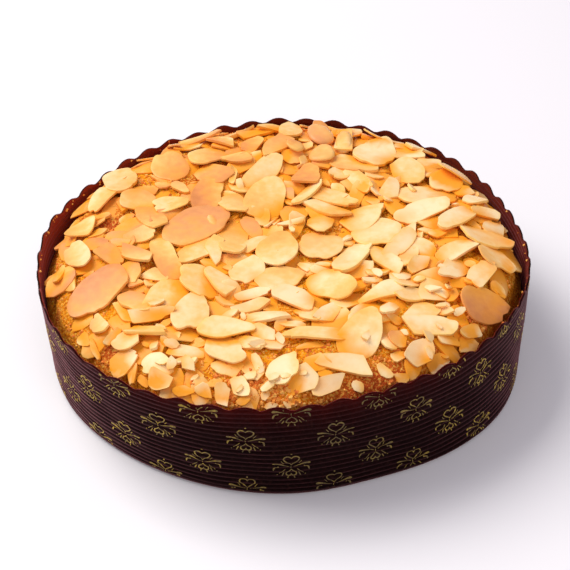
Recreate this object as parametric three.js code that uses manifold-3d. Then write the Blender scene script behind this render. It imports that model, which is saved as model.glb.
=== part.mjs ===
// An almond-topped tart baked in a printed paper case. Millimetres, +Z up, standing on z = 0.
import * as THREE from 'three';
import { mergeVertices } from 'three/addons/utils/BufferGeometryUtils.js';
import Module from 'manifold-3d';

const wasm = await Module();
wasm.setup();
const rad = THREE.MathUtils.degToRad;

// Paper case
const RIM_RADIUS = 92.5;
const BASE_RADIUS = 91;
const CASE_HEIGHT = 41.5;
const PAPER = 0.8;
const CORNER = 2;
const OVAL = 2.8;
const OVAL_AT = rad(50);
const TREFOIL = 1.4;
const TREFOIL_AT = rad(-15.5);
const SCALLOPS = 51;
const SCALLOP_DEPTH = 2;
const SCALLOP_PEAK = rad(-91.8);
const CROWDING = 4.6;
const CROWDING_AT = rad(41);
const STEPS_PER_SCALLOP = 4;

// Places where the paper leans out or in, at the rim and at the foot: amount, angle and spread in degrees
const RIM_LEANS = [[3, 172, 18], [-2.8, 14, 18]];
const FOOT_LEANS = [[2.4, -32, 18], [-1.9, -70, 14], [1.3, -150, 20]];

// Cake
const CLEARANCE = 0.3;
const FOOT_RADIUS = 89;
const TOP_RADIUS = 87.2;
const SHOULDER = 33.5;
const DOME = 13.1;
const DOME_POWER = 7;
const BACK_RISE = 2.4;
const RISE_AT = rad(105);
const CAKE_SEGMENTS = 72;
// Where the top edge stands out toward the paper, in the same terms as the leans
const CAKE_LEANS = [[2.6, 163, 26]];
const RINGS = [0.995, 0.975, 0.94, 0.88, 0.8, 0.69, 0.56, 0.42, 0.28, 0.14];

// Almond flakes
const FLAKE = 1.2;
const FLAKE_SIDES = 8;
const TAPER = 0.3;
const SINK = 0.4;
const LIFT = 0.85;
const STEEPEST = 0.7;
const WALL_GAP = 1.2;

// Smaller flakes, which lie lowest: centre x, centre y, length, width, turn in degrees
const SMALL_FLAKES = [
  [80, 8, 12, 10, 60], [27, 74, 12, 8, 40], [74, 24, 11, 6, 35], [-12, 75.5, 16, 5, 25], [-5, 77.5, 14, 4, 15],
  [-36, 70, 17, 5, 30], [-20, 74, 13, 4, 30], [50, 62, 13, 4, 0], [38, 71, 12, 5, -5], [58, 50, 10, 5, 0],
  [47, -45, 14, 8, 25], [29, 33, 17, 6, -65], [25, -24, 14, 8, 15], [-55, -3, 11, 8, 5], [-55, -67, 10, 9, 5],
  [-56, -46, 13, 7, -45], [-13, 3, 13, 6, -65], [-43, -71, 11, 8, -30], [51, -9, 11, 8, -55],
  [3, 52, 9, 8, -60], [-5, 46, 12, 6, -65], [-12, -8, 13, 5, 40], [45, -15, 13, 6, 65], [-55, -60, 9, 8, 5],
  [-34, -66, 12, 5, -10], [8, -48, 10, 7, -45], [15, -47, 12, 6, 60], [-9, 10, 11, 6, -75],
  [48, -20, 11, 6, 65], [-65, -51, 10, 6, -70], [-20, -73, 10, 6, -10], [-47, -27, 10, 6, -35],
  [39, -58, 8, 7, 45], [-71, -6, 9, 7, 5], [-12, -37, 12, 4, 20], [-42, 29, 9, 5, -65], [35, 26, 9, 5, -75],
  [-13, -63, 11, 5, -20], [77, 16, 11, 4, 5], [-62, 20, 11, 5, 60], [-42, -76, 8, 7, -20],
  [-8, -58, 9, 6, -20], [52, -64, 9, 6, 50], [63, -54, 8, 6, 25], [10, -71, 9, 6, 25], [1, 25, 8, 5, -65],
  [21, 38, 8, 6, -45], [70, 31, 8, 6, 20], [64, -50, 9, 5, 35], [47, 1, 9, 5, 55], [-50, 37, 9, 5, -15],
  [-15, -80, 8, 6, -45], [56, -56, 8, 5, -20], [-21, -82, 8, 5, -75],
];

// The flakes that stand out, the lower ones first: the same values
const MAIN_FLAKES = [
  [-20, -3, 24, 11, 82], [-44, -17.5, 24, 8, -70], [-33, -13, 17, 10, 55],
  [-27, -13, 15, 6, 85], [-41.5, -38, 23, 13, 68], [-31, -31.5, 17.5, 13, -60], [-33, -47.5, 19, 12, 83],
  [-57, -25, 12.5, 9, -72], [-67.5, -33, 25, 16, 62], [-64.5, -15, 12, 8, -50], [-55.5, -15, 12.5, 6.5, -22],
  [-77, -13, 17, 9, -68], [-52.5, -42, 15, 9, -42], [-46.5, -49.5, 15, 5, 6], [-48, -57.5, 14, 5, -18],
  [-23.5, -31, 16, 8, -62], [-14, -24, 14, 11, 70], [-12.5, -44, 13, 6.5, 12], [-6, -50.5, 14, 5.5, -4],
  [-20.5, -66, 15, 10.5, -38], [-20.5, -57, 18, 9.5, -8], [-2, -28, 17, 12, 25], [2.5, -40, 15, 9.5, -20],
  [13, -8.5, 16, 15, 20], [-3, -11.5, 19, 14, 75], [14, -78, 11.5, 6, 18], [5.5, -78, 12, 9, 70],
  [-0.5, -74, 13, 9.5, 62], [19.5, -70, 18, 7, -6], [27.5, -48, 15, 8, 50], [26, -58, 21, 13, 60],
  [9.5, -59, 20, 5.5, 3], [50, -52, 18, 8.5, 3], [46, -62.5, 12, 8.5, 62], [44.5, -37, 12, 6.5, 12],
  [33.5, -37.5, 17, 7.5, 32], [16, -32.5, 18, 13, -35], [24, -17, 20, 9, 62], [36, -17, 18, 7.5, -48],
  [35, -1, 18, 15, 25], [42, -8.5, 18, 7, 58], [60.5, -21.5, 15, 9, 50], [71, -22.5, 15, 8, 65],
  [63.5, -10.5, 17, 7.5, 32], [78, -12, 15, 12, -25], [76, -0.5, 20, 11, 3], [71, -37, 20, 14, 25],
  [30.5, 10, 18, 12, 38], [55, 25, 22, 12, 3], [52.5, 14, 22, 9.5, 32], [64.5, 8, 19, 8, 48],
  [40.5, 27.5, 15, 7, 82], [16, 14.5, 18, 8, -25], [18, 22.5, 20, 9, -32], [8.5, 24.5, 18, 5.5, 60],
  [-9, 40, 22, 10, 62], [-8, 22, 25, 14, 80], [8.5, 37.5, 15, 10, 80], [27.5, 45, 19, 11, -25],
  [50, 56, 14, 11, 30], [37, 56, 23, 15, 70], [49, 41, 15, 13, -60], [-29, 38, 14, 12, -40],
  [-31.5, 51, 16, 14, 60], [-31, 22, 21, 11, 82], [-20, 16.5, 13, 9.5, -60], [-57.5, 20, 13, 12, -30],
  [-52, 8.5, 18, 9, -62], [-44.5, 17.5, 12.5, 10.5, 20], [-47, 44, 16, 13, -60], [-66, 36, 22, 12.5, 100],
  [-72, 22, 14, 8, 65], [-77, 5, 12, 9, 60], [64, 36, 15, 12, 60], [68, 41, 14, 12, -40],
  [41, 71, 16, 12, 15], [56, 62, 13, 6.5, 5], [2, 77, 15, 9, 85], [15, 70, 18, 8, 95],
  [24, 65, 20, 7, 88], [15, 51, 14, 8, 85], [-4, 57, 18, 9, 65], [-20, 48, 13, 7, -20],
  [-14, 61, 13, 8, 80], [-27, 64, 13, 6.5, -25], [-34, 3.5, 27, 17, 48],
];

// The uneven outline of the case moves the middle of its box, so everything is shifted back by this much.
const SHIFT_X = -0.98;
const SHIFT_Y = 0.83;

// How far the rim stands outside its mean circle: an oval and a three-cornered part.
function rimSway(angle) {
  return OVAL * Math.cos(2 * (angle - OVAL_AT)) + TREFOIL * Math.cos(3 * (angle - TREFOIL_AT));
}

// How far the paper leans outward at an angle, summed over a list of leans.
function lean(angle, leans) {
  return leans.reduce((sum, [amount, at, spread]) => {
    const off = Math.atan2(Math.sin(angle - rad(at)), Math.cos(angle - rad(at))) / rad(spread);
    return sum + amount * Math.exp(-(off ** 2));
  }, 0);
}

// How far the scalloped edge stands above its mean height: round crests between narrow notches, which come
// closer together on one side.
function scallop(angle) {
  const crowd = Math.cos(angle - CROWDING_AT) - Math.cos(SCALLOP_PEAK - CROWDING_AT);
  const phase = SCALLOPS * (angle - SCALLOP_PEAK) + CROWDING * crowd;
  return SCALLOP_DEPTH * (Math.abs(Math.cos(phase / 2)) ** 1.3 - 0.56);
}

// Radius of the cake's top edge, which keeps to the outline of the case.
function topEdge(angle) {
  return TOP_RADIUS + rimSway(angle) + lean(angle, CAKE_LEANS);
}

// Height of the bare sponge: a flattened dome, a little higher at the back, with soft swells.
function spongeTop(x, y) {
  const out = Math.min(1, Math.hypot(x, y) / topEdge(Math.atan2(y, x)));
  const dome = SHOULDER + DOME * Math.sqrt(1 - out ** DOME_POWER);
  const swell = 0.7 * Math.sin(0.11 * x + 1.3) * Math.cos(0.09 * y - 0.4) + 0.4 * Math.sin(0.21 * x - 0.17 * y);
  const rise = BACK_RISE * ((x * Math.cos(RISE_AT) + y * Math.sin(RISE_AT)) / TOP_RADIUS);
  return dome + rise + swell * (1 - out ** 4);
}

// A closed solid from a geometry: points welded, and the empty triangles at the poles left out.
function solidOf(geometry) {
  geometry.deleteAttribute('normal');
  geometry.deleteAttribute('uv');
  const welded = mergeVertices(geometry, 1e-4);
  const index = welded.index.array;
  const triVerts = [];
  for (let i = 0; i < index.length; i += 3) {
    const [a, b, c] = [index[i], index[i + 1], index[i + 2]];
    if (a !== b && b !== c && c !== a) triVerts.push(a, b, c);
  }
  return new wasm.Manifold(new wasm.Mesh({
    numProp: 3,
    vertProperties: new Float32Array(welded.attributes.position.array),
    triVerts: new Uint32Array(triVerts),
  }));
}

// A named mesh from a solid, moved so that the box of the whole is centred on the origin.
function meshOf(solid, name, colour) {
  const { vertProperties, triVerts } = solid.getMesh();
  const geometry = new THREE.BufferGeometry();
  geometry.setAttribute('position', new THREE.BufferAttribute(vertProperties, 3));
  geometry.setIndex(new THREE.BufferAttribute(triVerts, 1));
  geometry.translate(-SHIFT_X, -SHIFT_Y, 0);
  geometry.computeVertexNormals();
  const mesh = new THREE.Mesh(geometry, new THREE.MeshStandardMaterial({ color: colour, roughness: 0.7 }));
  mesh.name = name;
  return mesh;
}

// A profile of [radius, height] pairs turned about the upright axis.
function turned(profile, segments, start) {
  const points = profile.map(([r, z]) => new THREE.Vector2(r, z));
  return new THREE.LatheGeometry(points, segments, start).rotateX(Math.PI / 2);
}

// Moves every point of a geometry by a rule on its angle, radius and height.
function reshape(geometry, rule) {
  const place = geometry.attributes.position;
  for (let i = 0; i < place.count; i += 1) {
    const [x, y, z] = [place.getX(i), place.getY(i), place.getZ(i)];
    const angle = Math.atan2(y, x);
    const [radius, height] = rule(angle, Math.hypot(x, y), z);
    place.setXYZ(i, radius * Math.cos(angle), radius * Math.sin(angle), height);
  }
  return geometry;
}

// The paper case: a low cup with a rounded lower edge and a scalloped, uneven rim.
function paperCase() {
  const profile = [
    [0, 0],
    [BASE_RADIUS - CORNER, 0],
    [BASE_RADIUS, CORNER],
    [RIM_RADIUS, CASE_HEIGHT],
    [RIM_RADIUS - PAPER, CASE_HEIGHT],
    [BASE_RADIUS - PAPER, CORNER + PAPER / 2],
    [BASE_RADIUS - CORNER - PAPER / 2, PAPER],
    [0, PAPER],
  ];
  const cup = turned(profile, SCALLOPS * STEPS_PER_SCALLOP, SCALLOP_PEAK + Math.PI / 2);
  return reshape(cup, (angle, radius, z) => {
    const up = z / CASE_HEIGHT;
    const bulge = up * (rimSway(angle) + lean(angle, RIM_LEANS)) + (1 - up) * lean(angle, FOOT_LEANS);
    return [radius > 1 ? radius + bulge : radius, z > CASE_HEIGHT - 1 ? z + scallop(angle) : z];
  });
}

// The cake without its almonds: a solid that fills the case, with a domed top.
function sponge() {
  const floor = PAPER + CLEARANCE;
  const profile = [
    [0, floor],
    [FOOT_RADIUS - CORNER, floor],
    [FOOT_RADIUS, floor + CORNER],
    [TOP_RADIUS, SHOULDER - 4],
    [TOP_RADIUS, SHOULDER],
    ...RINGS.map((share) => [TOP_RADIUS * share, SHOULDER + 1]),
    [0, SHOULDER + 1],
  ];
  return reshape(turned(profile, CAKE_SEGMENTS, 0), (angle, radius, z) => {
    if (z < SHOULDER - 1) {
      const up = z / CASE_HEIGHT;
      const bulge = up * (rimSway(angle) + lean(angle, CAKE_LEANS)) + (1 - up) * lean(angle, FOOT_LEANS);
      return [radius > 1 ? radius + bulge : radius, z];
    }
    const outward = radius * (topEdge(angle) / TOP_RADIUS);
    return [outward, spongeTop(outward * Math.cos(angle), outward * Math.sin(angle))];
  });
}

// Outline of a flake about its own centre: an oval that narrows toward one end.
function flakeOutline(length, width) {
  return Array.from({ length: FLAKE_SIDES }, (_, i) => {
    const t = (2 * Math.PI * i) / FLAKE_SIDES;
    return new THREE.Vector2((length / 2) * Math.cos(t), (width / 2) * Math.sin(t) * (1 - TAPER * Math.cos(t)));
  });
}

// Height of the topping so far, on a square grid of one-millimetre cells.
const REACH = 95;
const CELLS = 2 * REACH + 1;
const heights = new Float64Array(CELLS * CELLS);
for (let j = 0; j < CELLS; j += 1) {
  for (let i = 0; i < CELLS; i += 1) heights[j * CELLS + i] = spongeTop(i - REACH, j - REACH);
}

// Moves a flake inward until its outline is clear of the case.
function clearOfCase([x, y, length, width, turn]) {
  let [a, b] = [x, y];
  const outline = flakeOutline(length, width);
  for (let pass = 0; pass < 3; pass += 1) {
    let over = 0;
    for (const point of outline) {
      const spot = point.clone().rotateAround(new THREE.Vector2(), rad(turn));
      const angle = Math.atan2(b + spot.y, a + spot.x);
      const limit = RIM_RADIUS - PAPER - WALL_GAP + rimSway(angle) + lean(angle, RIM_LEANS);
      over = Math.max(over, Math.hypot(a + spot.x, b + spot.y) - limit);
    }
    const keep = 1 - over / Math.hypot(a, b);
    [a, b] = [a * keep, b * keep];
  }
  return [a, b];
}

// Lays one flake on what is already there: a plane through the heights under it, no steeper than STEEPEST,
// raised until it rests near the highest of them. The heights under it then become its upper face.
function layFlake(row) {
  const [, , length, width, turn] = row;
  const [x, y] = clearOfCase(row);
  const [c, s] = [Math.cos(rad(turn)), Math.sin(rad(turn))];
  const under = [];
  const half = Math.ceil(length / 2);
  for (let j = Math.round(y) - half; j <= Math.round(y) + half; j += 1) {
    for (let i = Math.round(x) - half; i <= Math.round(x) + half; i += 1) {
      const p = ((i - x) * c + (j - y) * s) / (length / 2);
      const q = ((j - y) * c - (i - x) * s) / (width / 2) / (1 - TAPER * p);
      if (p * p + q * q <= 1) under.push([i, j, heights[(j + REACH) * CELLS + i + REACH]]);
    }
  }
  const mean = [0, 1, 2].map((k) => under.reduce((sum, cell) => sum + cell[k], 0) / under.length);
  let [xx, xy, yy, xz, yz] = [1e-9, 0, 1e-9, 0, 0];
  for (const [i, j, z] of under) {
    const [dx, dy, dz] = [i - mean[0], j - mean[1], z - mean[2]];
    xx += dx * dx;
    xy += dx * dy;
    yy += dy * dy;
    xz += dx * dz;
    yz += dy * dz;
  }
  const spread = xx * yy - xy * xy;
  let slope = new THREE.Vector2((xz * yy - yz * xy) / spread, (yz * xx - xz * xy) / spread);
  slope = slope.clampLength(0, STEEPEST);
  const level = (i, j) => mean[2] + slope.x * (i - mean[0]) + slope.y * (j - mean[1]);
  const proud = Math.max(...under.map(([i, j, z]) => z - level(i, j)));
  const raise = LIFT * proud - SINK;
  for (const [i, j] of under) {
    const cell = (j + REACH) * CELLS + i + REACH;
    heights[cell] = Math.max(heights[cell], level(i, j) + raise + FLAKE);
  }
  const along = new THREE.Vector3(c, s, c * slope.x + s * slope.y).normalize();
  const up = new THREE.Vector3(-slope.x, -slope.y, 1).normalize();
  const across = new THREE.Vector3().crossVectors(up, along);
  const stand = new THREE.Matrix4().makeBasis(along, across, up).setPosition(x, y, level(x, y) + raise);
  const shape = new THREE.Shape(flakeOutline(length, width));
  return new THREE.ExtrudeGeometry(shape, { depth: FLAKE, bevelEnabled: false }).applyMatrix4(stand);
}

// The cake with every flake fused on. Only the largest body is kept, which fills sealed hollows.
function cake() {
  const flakes = [...SMALL_FLAKES, ...MAIN_FLAKES].map((row) => solidOf(layFlake(row)));
  const whole = wasm.Manifold.union([solidOf(sponge()), ...flakes]);
  const bodies = whole.decompose();
  return bodies.reduce((largest, body) => (body.volume() > largest.volume() ? body : largest));
}

const tart = new THREE.Group();
tart.name = 'tart';
tart.add(meshOf(solidOf(paperCase()), 'paper_case', 0x3a1d18));
tart.add(meshOf(cake(), 'cake', 0xe3b566));

export default tart;
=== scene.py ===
# %% [markdown]
# # An almond tart in its paper case
# The real thing is a low round almond cake, baked and sold in a ribbed brown paper case with a small gold
# print, and covered with toasted almond flakes. Every surface below is a formula worked out with numpy, in
# millimetres, and goes into Blender in metres, in the same frame as the solid model that is loaded first.

# %% Load the frame
import math
import bpy
import numpy as np
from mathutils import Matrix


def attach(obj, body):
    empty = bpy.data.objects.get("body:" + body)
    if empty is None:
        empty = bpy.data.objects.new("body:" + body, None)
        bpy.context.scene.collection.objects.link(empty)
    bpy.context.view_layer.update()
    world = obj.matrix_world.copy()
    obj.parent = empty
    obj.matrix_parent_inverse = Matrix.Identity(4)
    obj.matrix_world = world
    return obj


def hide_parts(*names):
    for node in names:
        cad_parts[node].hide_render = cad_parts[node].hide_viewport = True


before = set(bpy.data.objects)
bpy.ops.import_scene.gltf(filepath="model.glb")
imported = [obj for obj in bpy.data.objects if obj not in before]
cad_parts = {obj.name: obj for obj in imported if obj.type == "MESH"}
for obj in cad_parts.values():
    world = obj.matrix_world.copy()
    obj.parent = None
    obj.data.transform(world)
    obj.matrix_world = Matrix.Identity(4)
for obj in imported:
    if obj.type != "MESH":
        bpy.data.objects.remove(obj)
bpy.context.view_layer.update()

# %% [markdown]
# ## Camera, light and floor
# The photo looks down at about 37 degrees through a long lens. The lens, distance and height were found by
# matching the rim and the foot of the case. A large soft lamp behind and to the left gives the pale tops
# and the shadow that falls to the right. A weak one in front, like a reflector, and a bright surround fill
# in the rest.

# %% Camera
MM = 0.001
# The formulas put the middle of the foot at the origin. The solid model has the middle of its box there.
SHIFT = np.array([-0.98, 0.83, 0.0])
LOOK_AT = (np.array([-0.4, 0.0, 22.6]) - SHIFT) * MM
VIEW_DISTANCE = 0.521
VIEW_HEIGHT = math.radians(37.1)
VIEW_FIELD = math.radians(24)


def add_camera():
    """A camera on the line that leaves the aim point toward -Y at the viewing height."""
    data = bpy.data.cameras.new("camera")
    data.sensor_width = 36
    data.lens = data.sensor_width / 2 / math.tan(VIEW_FIELD / 2)
    camera = bpy.data.objects.new("camera", data)
    away = np.array([0, -math.cos(VIEW_HEIGHT), math.sin(VIEW_HEIGHT)])
    camera.location = LOOK_AT + VIEW_DISTANCE * away
    camera.rotation_euler = (math.pi / 2 - VIEW_HEIGHT, 0, 0)
    bpy.context.scene.collection.objects.link(camera)
    bpy.context.scene.camera = camera
    return camera


print("camera lens", round(add_camera().data.lens, 1), "mm")


# %% Light
def srgb(red, green, blue):
    """A colour given as screen values from 0 to 255, as the linear values that shaders use."""
    screen = np.array([red, green, blue]) / 255
    linear = np.where(screen <= 0.04045, screen / 12.92, ((screen + 0.055) / 1.055) ** 2.4)
    return (*linear.tolist(), 1.0)


def add_lamp(name, place, size, power, colour):
    """A square soft lamp at a place in metres, turned to face the tart."""
    data = bpy.data.lights.new(name, "AREA")
    data.size = size
    data.energy = power
    data.color = colour[:3]
    lamp = bpy.data.objects.new(name, data)
    lamp.location = place
    toward = LOOK_AT - np.array(place)
    flat = math.hypot(toward[0], toward[1])
    lamp.rotation_euler = (math.atan2(flat, -toward[2]), 0, math.atan2(-toward[0], toward[1]))
    bpy.context.scene.collection.objects.link(lamp)


# Places and sizes in metres, and power in watts.
add_lamp("window", (-0.9, 0.48, 1.25), 1.1, 27.0, srgb(255, 251, 245))
add_lamp("reflector", (0.3, -0.85, 0.62), 0.6, 3.2, srgb(255, 250, 244))
surround = bpy.data.worlds.new("surround")
surround.use_nodes = True
surround.node_tree.nodes["Background"].inputs["Color"].default_value = srgb(243, 237, 249)
surround.node_tree.nodes["Background"].inputs["Strength"].default_value = 0.42
bpy.context.scene.world = surround
bpy.context.scene.view_settings.view_transform = "Standard"

# %% [markdown]
# ## Helpers for surfaces and finishes
# A turned shape is a stack of closed rings. Its points are a grid: one row for each ring and one column for
# each angle, so the faces follow from the row and column numbers alone, and no loop over points is needed.
# A finish is a short chain of shader nodes, so small helpers make the nodes and join them.


# %% From arrays to meshes
def ring_faces(rows, around):
    """Quads between neighbouring rings, facing outward where the rings climb the outside of a shape."""
    low = np.arange(rows - 1)[:, None] * around
    here = np.arange(around)[None, :]
    following = (here + 1) % around
    quads = np.stack([low + here, low + following, low + around + following, low + around + here], -1)
    return quads.reshape(-1, 4)


def closed_faces(rows, around):
    """Faces of a stack of rings with a pole before the first ring and one after the last.

    The poles are the two points that follow the rings in the list of points.
    """
    here = np.arange(around)
    following = (here + 1) % around
    last = (rows - 1) * around
    pole = np.full(around, rows * around)
    first_cap = np.stack([pole, following, here], -1)
    last_cap = np.stack([last + here, last + following, pole + 1], -1)
    return ring_faces(rows, around), np.concatenate([first_cap, last_cap])


def repeated_faces(count, rows, around):
    """Faces of many closed shapes of one kind: those of one, with the numbers of the next one's points."""
    quads, caps = closed_faces(rows, around)
    shift = np.arange(count)[:, None, None] * (rows * around + 2)
    return (quads + shift).reshape(-1, 4), (caps + shift).reshape(-1, 3)


def add_piece(name, points, face_lists, node, finish, crisp=180):
    """A piece from points in millimetres and lists of faces; it rides on the root and stands for a node.

    It is shaded smooth, but for edges that turn by more than the crisp angle in degrees.
    """
    mesh = bpy.data.meshes.new(name)
    faces = [face for faces in face_lists for face in faces.tolist()]
    mesh.from_pydata(((points - SHIFT) * MM).tolist(), [], faces)
    mesh.polygons.foreach_set("use_smooth", np.ones(len(mesh.polygons), bool))
    mesh.set_sharp_from_angle(angle=math.radians(crisp))
    mesh.materials.append(finish)
    piece = bpy.data.objects.new(name, mesh)
    bpy.context.scene.collection.objects.link(piece)
    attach(piece, "root")
    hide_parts(node)
    print(name, "points", len(points), "faces", len(faces))
    return piece


def add_values(piece, name, values):
    """One number for each point of a piece, for its finish to read."""
    layer = piece.data.attributes.new(name, "FLOAT", "POINT")
    layer.data.foreach_set("value", np.ascontiguousarray(values, np.float32).ravel())


# %% From nodes to finishes
def new_finish(name):
    """An empty finish: the material, its node tree and its main shader."""
    finish = bpy.data.materials.new(name)
    finish.use_nodes = True
    return finish, finish.node_tree, finish.node_tree.nodes["Principled BSDF"]


def feed(tree, node, inputs):
    """Sets inputs of a node, each to a plain value or to the output of another node."""
    for key, value in inputs.items():
        if isinstance(value, bpy.types.NodeSocket):
            tree.links.new(value, node.inputs[key])
        else:
            node.inputs[key].default_value = value


def add_node(tree, kind, inputs, **settings):
    """A node with its settings and its inputs."""
    node = tree.nodes.new("ShaderNode" + kind)
    for key, value in settings.items():
        setattr(node, key, value)
    feed(tree, node, inputs)
    return node


def mixed(tree, share, first, second):
    """A colour: the first where share is 0 and the second where it is 1."""
    return add_node(tree, "Mix", {0: share, 6: first, 7: second}, data_type="RGBA").outputs[2]


def ranged(tree, value, low, high, to_low=0.0, to_high=1.0):
    """A value mapped from one range to another, and held inside it."""
    return add_node(tree, "MapRange", {0: value, 1: low, 2: high, 3: to_low, 4: to_high}).outputs[0]


def grain(tree, scale, detail=4.0):
    """Noise over the piece, scale being about the number of lumps in a metre."""
    place = add_node(tree, "TexCoord", {}).outputs["Object"]
    return add_node(tree, "TexNoise", {"Vector": place, "Scale": scale, "Detail": detail}).outputs["Fac"]


def stored(tree, name):
    """A value that was stored on the points of the piece."""
    return add_node(tree, "Attribute", {}, attribute_name=name).outputs["Fac"]


def roughen(tree, shader, height, distance, strength):
    """Bump on a shader from a height, with its depth in metres."""
    bump = add_node(tree, "Bump", {"Height": height, "Distance": distance, "Strength": strength})
    feed(tree, shader, {"Normal": bump.outputs["Normal"]})


# %% Floor
FLOOR_HALF = 3.0
floor_finish, floor_tree, floor_shader = new_finish("pale_table")
feed(floor_tree, floor_shader, {"Base Color": srgb(243, 242, 247), "Roughness": 0.6})
floor_mesh = bpy.data.meshes.new("floor")
corners = FLOOR_HALF * np.array([[-1, -1, 0], [1, -1, 0], [1, 1, 0], [-1, 1, 0]])
floor_mesh.from_pydata(corners.tolist(), [], [[0, 1, 2, 3]])
floor_mesh.materials.append(floor_finish)
floor = bpy.data.objects.new("floor", floor_mesh)
bpy.context.scene.collection.objects.link(floor)
print("floor", 2 * FLOOR_HALF, "m wide")

# %% [markdown]
# ## The paper case
# The case is a low cup of brown paper pressed into fine level ribs, with a scalloped edge. Paper gives, so
# the rim is a little oval and three-cornered, and it leans out or in at a few places. The wall is a
# radius as a function of angle and height, blended from the foot's outline to the rim's. The ribs are in
# the mesh, so they catch the light from any side.

# %% Shape of the wall
RIM_RADIUS = 92.5
BASE_RADIUS = 91.0
CASE_HEIGHT = 41.5
PAPER = 0.8
CORNER = 2.0
# The wall starts just above the rounded corner of the foot.
WALL_FOOT = CORNER + 0.4
OVAL = 2.8
OVAL_AT = math.radians(50)
TREFOIL = 1.4
TREFOIL_AT = math.radians(-15.5)
# Places where the paper leans out or in, at the rim and at the foot: amount, angle and spread in degrees.
RIM_LEANS = [[3, 172, 18], [-2.8, 14, 18]]
FOOT_LEANS = [[2.4, -32, 18], [-1.9, -70, 14], [1.3, -150, 20]]
SCALLOPS = 51
SCALLOP_DEPTH = 2.0
SCALLOP_PEAK = math.radians(-91.8)
CROWDING = 4.6
CROWDING_AT = math.radians(41)
RIB_PITCH = 2.1
RIB_DEPTH = 0.43


def rim_sway(angle):
    """How far the rim stands outside its mean circle: an oval part and a three-cornered part."""
    return OVAL * np.cos(2 * (angle - OVAL_AT)) + TREFOIL * np.cos(3 * (angle - TREFOIL_AT))


def lean(angle, leans):
    """How far the paper leans outward at an angle: a sum of bell curves."""
    total = 0 * angle
    for amount, at, spread in leans:
        off = np.angle(np.exp(1j * (angle - math.radians(at)))) / math.radians(spread)
        total = total + amount * np.exp(-off ** 2)
    return total


def rim_height(angle):
    """Height of the scalloped edge: round crests between narrow notches, closer together on one side."""
    crowd = np.cos(angle - CROWDING_AT) - math.cos(SCALLOP_PEAK - CROWDING_AT)
    crest = np.abs(np.cos((SCALLOPS * (angle - SCALLOP_PEAK) + CROWDING * crowd) / 2)) ** 1.3
    uneven = 0.3 * np.sin(5 * angle + 1) + 0.25 * np.sin(9 * angle) + 0.2 * np.sin(23 * angle + 2)
    return CASE_HEIGHT + SCALLOP_DEPTH * (crest - 0.56) + uneven


def ribs(angle, z):
    """Ribs in the paper: round backs between sharp creases, fading in and out and wandering a little."""
    wander = 0.5 * np.sin(2 * angle + 0.4) + 0.35 * np.sin(7 * angle + 2) + 0.3 * np.sin(13 * angle + z / 5)
    firm = 0.7 + 0.3 * np.sin(11 * angle + 0.8 * z) * np.sin(17 * angle - 0.5 * z)
    return RIB_DEPTH * firm * (np.abs(np.cos(np.pi * z / RIB_PITCH + wander)) - 0.64)


def smooth_wall(angle, z):
    """Outside radius of the wall without its ribs: from the foot's outline to the rim's."""
    foot = BASE_RADIUS + lean(angle, FOOT_LEANS)
    rim = RIM_RADIUS + rim_sway(angle) + lean(angle, RIM_LEANS)
    return foot + (rim - foot) * np.clip(z / CASE_HEIGHT, 0, 1.05)


def wall_radius(angle, z):
    """Outside radius of the wall, with ribs and a few soft dents."""
    dents = 0.22 * np.sin(9 * angle + z / 7) * np.sin(14 * angle - z / 11 + 1)
    dents = dents * np.sin(np.pi * np.clip(z / CASE_HEIGHT, 0, 1))
    return smooth_wall(angle, z) + ribs(angle, z) + dents


def round_points(angle, radius, z):
    """Points from angle, radius and height."""
    return np.stack(np.broadcast_arrays(radius * np.cos(angle), radius * np.sin(angle), z), -1)


print("rim", round(float(rim_height(0.0)), 1), "mm high at the right")

# %% Paper case mesh
AROUND = SCALLOPS * 8
FOOT_ROWS = 5
OUTER_ROWS = 136
INNER_ROWS = 44
TRIM_BAND = 4.0
# Heights of the rows of the inner side that the cake hides.
HIDDEN_LEVELS = np.array([26.0, 20.0, 12.0, 5.0, 2.4])


def trimmed(level, angle):
    """Height of a wall row: level low down, and drawn up or down to the scalloped edge near the top."""
    near = np.clip((level - (CASE_HEIGHT - TRIM_BAND)) / TRIM_BAND, 0, 1)
    return level + near * (rim_height(angle) - CASE_HEIGHT)


def case_rings():
    """Rings of the case, from the middle of the foot, up the outside, over the edge and down the inside."""
    angle = np.linspace(0, 2 * np.pi, AROUND, endpoint=False)[None, :]
    bend = np.linspace(0, np.pi / 2, FOOT_ROWS)[:, None]
    foot_radius = BASE_RADIUS - CORNER + CORNER * np.sin(bend) + lean(angle, FOOT_LEANS)
    foot = round_points(angle, foot_radius, CORNER - CORNER * np.cos(bend))
    outer_z = trimmed(np.linspace(WALL_FOOT, CASE_HEIGHT, OUTER_ROWS)[:, None], angle)
    outer = round_points(angle, wall_radius(angle, outer_z), outer_z)
    edge_z = rim_height(angle) + 0.12
    edge = round_points(angle, wall_radius(angle, edge_z) - PAPER / 2, edge_z)
    seen_levels = np.linspace(CASE_HEIGHT, HIDDEN_LEVELS[0], INNER_ROWS, endpoint=False)
    inner_z = trimmed(np.concatenate([seen_levels, HIDDEN_LEVELS])[:, None], angle)
    inner = round_points(angle, wall_radius(angle, inner_z) - PAPER, inner_z)
    inner_foot = round_points(angle, foot_radius[:1] - PAPER / 2, PAPER)
    return np.concatenate([foot, outer, edge, inner, inner_foot])


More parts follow.
